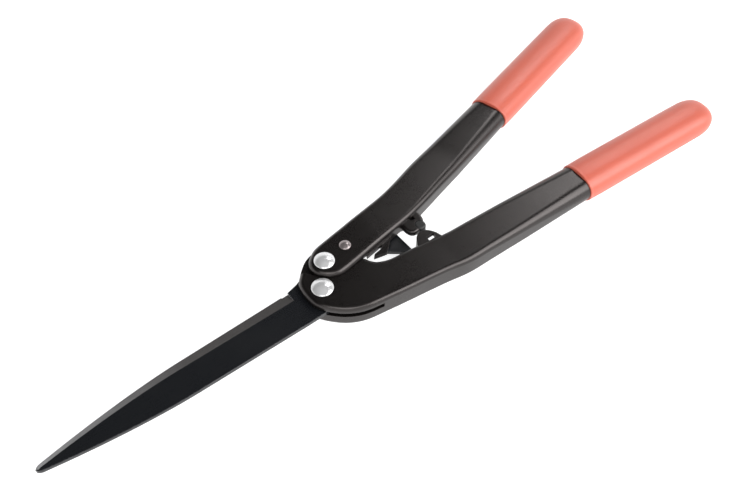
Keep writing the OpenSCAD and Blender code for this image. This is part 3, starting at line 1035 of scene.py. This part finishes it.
@dataclass
class Grip(Assembly):
    """A tapered oval sleeve with a beaded mouth and a rounded end."""

    name: str
    node: str
    body: Body
    axis: Axis
    start: float
    length: float = 137.9
    width: float = 33.2
    thick: float = 24.0
    around: int = 112

    def _profile(self) -> list[Flat]:
        """(distance, scale) rows along the sleeve.

        Returns:
            The rows, from the mouth to the end.
        """
        length = self.length
        rows = [(0.0, 0.955), (0.15, 0.972), (0.5, 0.984), (1.0, 0.988),
                (1.6, 0.986), (2.1, 0.98), (2.6, 0.978), (3.4, 0.982), (5.0, 0.988),
                (8.0, 0.993), (14.0, 0.998), (24.0, 1.0), (45.0, 1.0), (70.0, 1.0),
                (95.0, 1.0), (length - 24, 1.0), (length - 20, 0.9985)]
        for k in range(1, 17):
            a = math.pi / 2 * k / 16
            rows.append((length - 19 + 19 * math.sin(a),
                         0.16 + 0.8375 * math.cos(a) ** 0.62 if k < 16 else 0.16))
        return rows

    def build(self) -> bpy.types.Object:
        """The sleeve as one closed skin.

        Returns:
            The object, closed.
        """
        turn = math.radians(self.axis.degrees)
        x0, y0 = self.axis.point(self.start)
        rings = []
        for s, scale in self._profile():
            ring = []
            for k in range(self.around):
                a = 2 * math.pi * k / self.around
                c, d = math.cos(a), math.sin(a)
                off = scale * self.width / 2 * math.copysign(abs(c) ** 0.86, c)
                up = scale * self.thick / 2 * math.copysign(abs(d) ** 0.86, d)
                ring.append((x0 + s * math.cos(turn) - off * math.sin(turn),
                             y0 + s * math.sin(turn) + off * math.cos(turn), up))
            rings.append(ring)
        return self.bench.rings(self.name, rings)

    def dress(self) -> None:
        """Builds the sleeve, paints it and sets it on its body."""
        sleeve = self.build()
        coat(sleeve, self.paints.coral, 50.0)
        settle(sleeve, self.body, Finish.GRIP, self.node)


@dataclass
class BladePlan:
    """Edges and bevel of the closed blades in plan."""

    reach: float = 220.0
    taper_from: float = -112.0
    tip_round: float = 4.0
    front: float = -19.0
    root: float = -24.0
    step_back: float = -26.0

    def taper(self, x: float) -> float:
        """How far towards the tip, from 0 where the edges begin to close in."""
        return max(0.0, (self.taper_from - x) / (self.reach - 115.5))

    def far_edge(self, x: float) -> float:
        """The cutting edge of the moving blade."""
        return 16 - 9.4 * self.taper(x) ** 1.65

    def near_edge(self, x: float) -> float:
        """The spine of the moving blade."""
        return -14.9 + 0.026 * (-24.5 - x) + 9.7 * self.taper(x) ** 1.7

    def bevel(self, x: float) -> float:
        """Width of the ground bevel."""
        return lookup(((-self.reach, 4.0), (-110.0, 7.2), (-24.0, 9.0)), x)

    def stations(self, reach: float, start: float = -24.5) -> list[float]:
        """Places of the cross-sections, closer round the tip.

        Args:
            reach: Distance from the pivot to the tip.
            start: Where the first section stands.

        Returns:
            Their places along X, towards the tip.
        """
        end = self.tip_round - reach
        count = int((start - end) / 3)
        plain = [start + (end - start) * k / count for k in range(count)]
        return plain + [end - self.tip_round * math.sin(math.radians(a))
                        for a in range(0, 76, 5)]

    def squeeze(self, x: float, reach: float) -> float:
        """How much the rounded tip draws the edges in."""
        past = (self.tip_round - reach - x) / self.tip_round
        return 1.0 if past <= 0 else math.sqrt(max(0.006, 1 - past * past))


@dataclass
class MovingBlade(Assembly):
    """The blade on top: a ground edge, a flat, and a tang for the drive pin."""

    stack: Stack
    plan: BladePlan = field(default_factory=BladePlan)
    land: float = 0.25
    chamfer: float = 0.35
    bore: float = 7.0
    window_half: float = 4.7
    window_turn: float = 36.0
    pin_half: float = 3.75
    pin_run: Flat = (37.8, 40.7)

    def _blade(self) -> bpy.types.Object:
        """The blade in front of the lobe; its bevel faces take the ground finish.

        Returns:
            The object, closed.
        """
        plan, half = self.plan, self.stack.blade_t / 2
        rings = []
        for x in plan.stations(plan.reach):
            lead, back = plan.far_edge(x), plan.near_edge(x)
            mid, q = (lead + back) / 2, plan.squeeze(x, plan.reach)
            f, n = mid + (lead - mid) * q, mid + (back - mid) * q
            b, c = min(plan.bevel(x), (f - n) * 0.72), self.chamfer * q
            rings.append([(x, n + c, -half), (x, f, -half), (x, f, -half + self.land),
                          (x, f - b, half), (x, n + c, half), (x, n, half - c),
                          (x, n, -half + c)])
        return self.bench.rings("moving_blade_body", rings[::-1])

    def _tang(self) -> bpy.types.Object:
        """The plate behind the blade: shoulder, neck and eye for the drive pin.

        Returns:
            The object, closed.
        """
        stack, half = self.stack, self.stack.blade_t / 2
        eye = stack.drive_in_blade(stack.swing / 2)
        loop = [(-27, -14.7)]
        loop += [polar(PIVOT, r, a) for r, a in
                 ((20, -48), (20, -36), (20, -24), (31, -19), (37, -12), (39.5, -3), (40, 5),
                  (41.5, 11))]
        loop += [polar(eye, 8.6, a) for a in range(-30, 71, 10)]
        loop += [polar(PIVOT, r, a) for r, a in
                 ((38, 44), (32.5, 54), (28.5, 64), (25.5, 74), (22, 85), (20, 100))]
        loop += [(-10.6, 16.9), (-19, 15.1), (-27, 15.1)]
        return self.bench.prism("tang", loop, -half, half)

    def build(self) -> bpy.types.Object:
        """The whole blade with its windows.

        Returns:
            The object, closed.
        """
        bench, stack, half = self.bench, self.stack, self.stack.blade_t / 2
        blade, tang = self._blade(), self._tang()
        angle = math.degrees(math.atan2(stack.hinge[1], stack.hinge[0]))
        reach = math.hypot(*stack.hinge)
        step = [(-30.0, 7.0, half), (-19.6, 7.0, half), (-19.6, 26.0, half - 5.8),
                (-30.0, 26.0, half - 5.8)]
        wedge = bench.mesh("step", [*step, *[(x, y, half + 4) for x, y, _ in step]],
                           [(3, 2, 1, 0), (4, 5, 6, 7), (0, 1, 5, 4), (1, 2, 6, 5),
                            (2, 3, 7, 6), (3, 0, 4, 7)])
        carve(tang, [wedge], "DIFFERENCE")
        carve(blade, [tang], "UNION")
        first, last = angle - self.window_turn, angle + 2
        wide, tight = reach + self.window_half, reach - self.window_half
        window = arc(PIVOT, wide, first, last, 16)
        window += arc(polar(PIVOT, reach, last), self.window_half, last, last + 180, 16)[1:-1]
        window += arc(PIVOT, tight, last, first, 16)
        window += arc(polar(PIVOT, reach, first), self.window_half, first + 180,
                      first + 360, 16)[1:-1]
        radial = math.degrees(math.atan2(stack.drive[1], stack.drive[0]))
        pin_slot = []
        for place, start in zip(self.pin_run[::-1], (radial - 90, radial + 90)):
            pin_slot += arc(polar(PIVOT, place, radial), self.pin_half, start, start + 180, 12)
        cuts = [bench.drum("bore", PIVOT, self.bore, -9, 9),
                bench.prism("arc_window", window, -9, 9),
                bench.prism("pin_slot", pin_slot, -9, 9)]
        carve(blade, cuts, "DIFFERENCE")
        return blade

    def dress(self) -> None:
        """Builds the blade, paints its flat and its bevel, and sets it on its body."""
        blade = self.build()
        paint_blade(blade, self.bench, self.paints, 1.0, self.plan)
        shade(blade, 12.0)
        settle(blade, Body.BLADE, Finish.BLADE, "moving_blade")


def paint_blade(blade: bpy.types.Object, bench: Bench, paints: Paints, way: float,
                plan: BladePlan) -> None:
    """Gives the flats the coating, the bevel the ground finish, and the rest bare steel.

    The rest is the thin cutting edge and the face of the step at the blade's root.

    Args:
        blade: The blade.
        bench: Where the pivot is.
        paints: The finishes.
        way: 1 where the bevel faces up, -1 where it faces down.
        plan: The blades' plan.
    """
    blade.data.materials.clear()
    for paint in (paints.coating, paints.ground, paints.bare):
        blade.data.materials.append(paint)
    for face in blade.data.polygons:
        x, y, _ = (face.center - bench.home) / MM
        up = face.normal.z * way
        edge = plan.far_edge(x) if way > 0 else plan.near_edge(x)
        tilted = 0.8 < up < 0.985 and x < plan.front
        thin_edge = x < plan.root and abs(face.normal.z) < 0.2 and way * y > way * edge - 4
        end_step = plan.step_back < x < plan.front and abs(face.normal.x) > 0.8 and y > 6
        if tilted and face.area > 1e-7:
            face.material_index = 1
        elif thin_edge or end_step:
            face.material_index = 2


@dataclass
class FixedBlade(Assembly):
    """The blade underneath, whose tang lies in the lower handle."""

    stack: Stack
    plan: BladePlan = field(default_factory=BladePlan)
    trim: float = 1.0
    land: float = 0.25

    def build(self) -> bpy.types.Object:
        """The whole blade with its pivot holes.

        Returns:
            The object, closed.
        """
        plan, bench = self.plan, self.bench
        top = self.stack.fixed_top
        low = top - self.stack.blade_t
        rings = []
        for x in plan.stations(plan.reach - 3):
            lead, back = plan.near_edge(x) + self.trim, plan.far_edge(x) - self.trim
            mid, q = (lead + back) / 2, plan.squeeze(x, plan.reach - 3)
            n, f = mid + (lead - mid) * q, mid + (back - mid) * q
            b = min(plan.bevel(x), (f - n) * 0.72)
            rings.append([(x, n, top - self.land), (x, n + b, low), (x, f, low), (x, f, top),
                          (x, n, top)])
        blade = bench.rings("fixed_blade_body", rings[::-1])
        tang = [(-30, -9), (-12, -9), (0, -10), (14, -5), (26, 3), (36, 9.5), (46, 12.5),
                (57.6, 12.5), (59.4, 10.5), (58.3, 3.2), (66.5, -3.4), (69.6, -6.5),
                (69.6, -16), (75.5, -16), (75.5, 21), (60, 23), (40, 25), (26, 26.4),
                (14, 25.4), (6, 23), (0, 18), (-8, 13.4), (-30, 12.4)]
        carve(blade, [bench.prism("tang", tang, low, top)], "UNION")
        holes = ((PIVOT, 5.0), (self.stack.hinge, 4.0), (self.stack.tang_hole, 1.6))
        carve(blade, [bench.drum("bore", at, r, -12, 9) for at, r in holes], "DIFFERENCE")
        return blade

    def dress(self) -> None:
        """Builds the blade, paints it and sets it on its body."""
        blade = self.build()
        paint_blade(blade, self.bench, self.paints, -1.0, self.plan)
        shade(blade, 12.0)
        settle(blade, Body.LOWER, Finish.BLADE, "fixed_blade")


@dataclass
class Rivet(Assembly):
    """A shank with a domed head whose rim is softly rounded."""

    name: str
    node: str
    body: Body
    centre: Flat
    seat: float
    head: float
    shank: float
    low: float
    dome: float = 2.4
    dull: bool = False

    def build(self) -> bpy.types.Object:
        """The rivet turned from one profile.

        Returns:
            The object, closed.
        """
        r = self.head / 2
        profile = [(0.0, self.low), (self.shank / 2 - 0.3, self.low),
                   (self.shank / 2, self.low + 0.3), (self.shank / 2, self.seat),
                   (r - 0.25, self.seat), (r - 0.05, self.seat + 0.12), (r, self.seat + 0.35)]
        ball = (r * r + self.dome ** 2) / (2 * self.dome)
        base = self.seat + 0.5 + self.dome - ball
        widest = math.asin((r - 0.12) / ball)
        for k in range(18):
            a = widest * (1 - k / 18)
            profile.append((ball * math.sin(a), base + ball * math.cos(a)))
        profile.append((0.0, base + ball))
        return self.bench.lathe(self.name, self.centre, profile)

    def dress(self) -> None:
        """Builds the rivet, paints it and sets it on its body."""
        rivet = self.build()
        coat(rivet, self.paints.dull if self.dull else self.paints.polished, 60.0)
        settle(rivet, self.body, Finish.RIVET, self.node)


@dataclass
class StopPad(Assembly):
    """The round rubber bumper, and the plug that shows in the boss's square hole."""

    stack: Stack

    def dress(self) -> None:
        """Builds both pieces, paints them and sets them on the upper handle."""
        stack = self.stack
        pad = self.bench.drum("bumper_pad", stack.pad, stack.pad_r, -1.5, 7.4, soft=1.5)
        coat(pad, self.paints.rubber, 50.0)
        settle(pad, Body.UPPER, Finish.RUBBER, "bumper")
        plug = self.bench.block("bumper_plug_end", stack.square, (*stack.square_size, 2.4),
                                soft=0.3)
        coat(plug, self.paints.rubber, 50.0)
        settle(plug, Body.UPPER, Finish.RUBBER, "bumper_plug")


@dataclass
class HiddenMetal:
    """The bushes, washers, collars and pin, which keep the model's own shapes."""

    paints: Paints

    def dress(self) -> None:
        """Paints each node with its own metal."""
        metals = {
            self.paints.brass: ("blade_pivot_bush", "handle_pivot_bush", "drive_roller"),
            self.paints.plated: ("blade_pivot_collar", "handle_pivot_collar", "blade_washer",
                                 "handle_pivot_washer", "drive_washer", "tang_pin"),
        }
        for metal, nodes in metals.items():
            for node in nodes:
                shown = frame["nodes"][node]
                shown.data.materials.clear()
                shown.data.materials.append(metal)
                LOG.info("%s: painted %s", node, metal.name)


# ---------------------------------------------------------------- studio


@dataclass
class Studio(Assembly):
    """Floor, soft lights and the camera."""

    middle: tuple[float, float, float] = (47.6, 12.3, -1.5)
    elevation: float = 52.0
    azimuth: float = -38.5
    distance: float = 0.7259
    lens: float = 49.3
    sky_power: float = 2.4
    floor_glow: float = 0.86
    sky: Table = ((0.0, 0.65), (0.34, 0.6), (0.6, 0.008), (0.92, 0.008), (1.0, 0.1))
    lights: tuple = (("overhead", (-1.1, -1.35, 1.9), (1.6, 1.3), 30.0),
                     ("right_side", (0.85, -1.3, 1.3), (1.8, 1.4), 46.0),
                     ("far_corner", (1.7, 0.75, 1.75), (0.8, 0.8), 11.0))
    floor_half: float = 8.0

    @staticmethod
    def _area(name: str, at: tuple, towards: Vector, size: Flat, power: float) -> None:
        """A soft rectangular light.

        Args:
            name: Name of the light.
            at: Its place, in metres.
            towards: The point it faces.
            size: Its width and height.
            power: Watts.
        """
        data = bpy.data.lights.new(name, "AREA")
        data.shape, data.energy = "RECTANGLE", power
        data.size, data.size_y = size
        lamp = bpy.data.objects.new(name, data)
        lamp.location = at
        lamp.rotation_euler = (towards - Vector(at)).to_track_quat("-Z", "Y").to_euler()
        bpy.context.scene.collection.objects.link(lamp)

    def _floor(self) -> None:
        """A plain pale floor just under the tool, with a glow of its own."""
        size = self.floor_half
        data = bpy.data.meshes.new("studio_floor")
        data.from_pydata([(-size, -size, 0), (size, -size, 0), (size, size, 0),
                          (-size, size, 0)], [], [(0, 1, 2, 3)])
        floor = bpy.data.objects.new("studio_floor", data)
        floor.location.z = CAD_BOX[0][2] - 0.0002
        glow = self.paints.floor.node_tree.nodes["Principled BSDF"]
        glow.inputs["Emission Color"].default_value = (1.0, 1.0, 1.0, 1.0)
        glow.inputs["Emission Strength"].default_value = self.floor_glow
        data.materials.append(self.paints.floor)
        bpy.context.scene.collection.objects.link(floor)

    def _world(self) -> None:
        """A grey sky, light low down and almost black higher up."""
        world = bpy.data.worlds.new("studio")
        world.use_nodes = True
        sky = Graph(world.node_tree)
        rise = sky.add("SeparateXYZ", i_0=sky.add("TexCoord").outputs["Generated"])
        ramp = sky.add("ValToRGB", i_0=rise.outputs[2])
        ramp.color_ramp.interpolation = "EASE"
        for i, (height, grey) in enumerate(self.sky):
            stop = ramp.color_ramp.elements[i] if i < 2 else ramp.color_ramp.elements.new(height)
            stop.position, stop.color = height, (grey, grey, grey, 1.0)
        back = world.node_tree.nodes["Background"]
        sky.link(ramp.outputs[0], back.inputs[0])
        back.inputs[1].default_value = self.sky_power
        bpy.context.scene.world = world

    def _camera(self, middle: Vector) -> None:
        """The camera, turned to a point of the tool.

        Args:
            middle: The point, in metres.
        """
        up, flat = math.radians(self.elevation), math.radians(self.azimuth)
        look = Vector((-math.sin(flat) * math.cos(up), math.cos(flat) * math.cos(up),
                       -math.sin(up)))
        lens = bpy.data.cameras.new("studio_camera")
        lens.lens, lens.sensor_width, lens.clip_start = self.lens, 36.0, 0.01
        camera = bpy.data.objects.new("studio_camera", lens)
        camera.location = middle - self.distance * look
        camera.rotation_euler = look.to_track_quat("-Z", "Y").to_euler()
        bpy.context.scene.collection.objects.link(camera)
        bpy.context.scene.camera = camera
        bpy.context.scene.view_settings.view_transform = "Standard"

    def build(self) -> None:
        """Sets up the floor, the light and the camera."""
        middle = self.bench.place(*self.middle)
        self._floor()
        self._world()
        for name, at, size, power in self.lights:
            self._area(name, at, middle, size, power)
        self._camera(middle)


def main() -> None:
    """Builds every sub-assembly in order."""
    logging.basicConfig(level=logging.INFO, format="%(name)s: %(message)s")
    joints = {j["name"]: j for j in frame["record"]["behaviour"]["joints"]}
    bench = Bench(Vector(joints["blade_swing"]["pos_m"]))
    paints, stack = Paints(), Stack()
    Studio(bench, paints).build()
    pieces = [
        FixedBlade(bench, paints, stack),
        MovingBlade(bench, paints, stack),
        LowerHandle(bench, paints, stack),
        UpperHandle(bench, paints, stack),
        Grip(bench, paints, "lower_sleeve", "lower_grip", Body.LOWER, stack.lower_axis, 110.5),
        Grip(bench, paints, "upper_sleeve", "upper_grip", Body.UPPER, stack.upper_axis, 112.0),
        Rivet(bench, paints, "blade_rivet", "blade_pivot_rivet", Body.LOWER, PIVOT,
              stack.lobe, 16.0, 9.9, stack.lobe_low),
        Rivet(bench, paints, "handle_rivet", "handle_pivot_rivet", Body.LOWER, stack.hinge,
              stack.ear_top + 0.1, 15.0, 7.9, stack.lobe_low),
        Rivet(bench, paints, "drive_pin_rivet", "drive_rivet", Body.UPPER, stack.drive,
              stack.ear_top, 8.8, 5.0, -1.4, 1.6, True),
        StopPad(bench, paints, stack),
        HiddenMetal(paints),
    ]
    for piece in pieces:
        piece.dress()


if __name__ == "__main__":
    main()
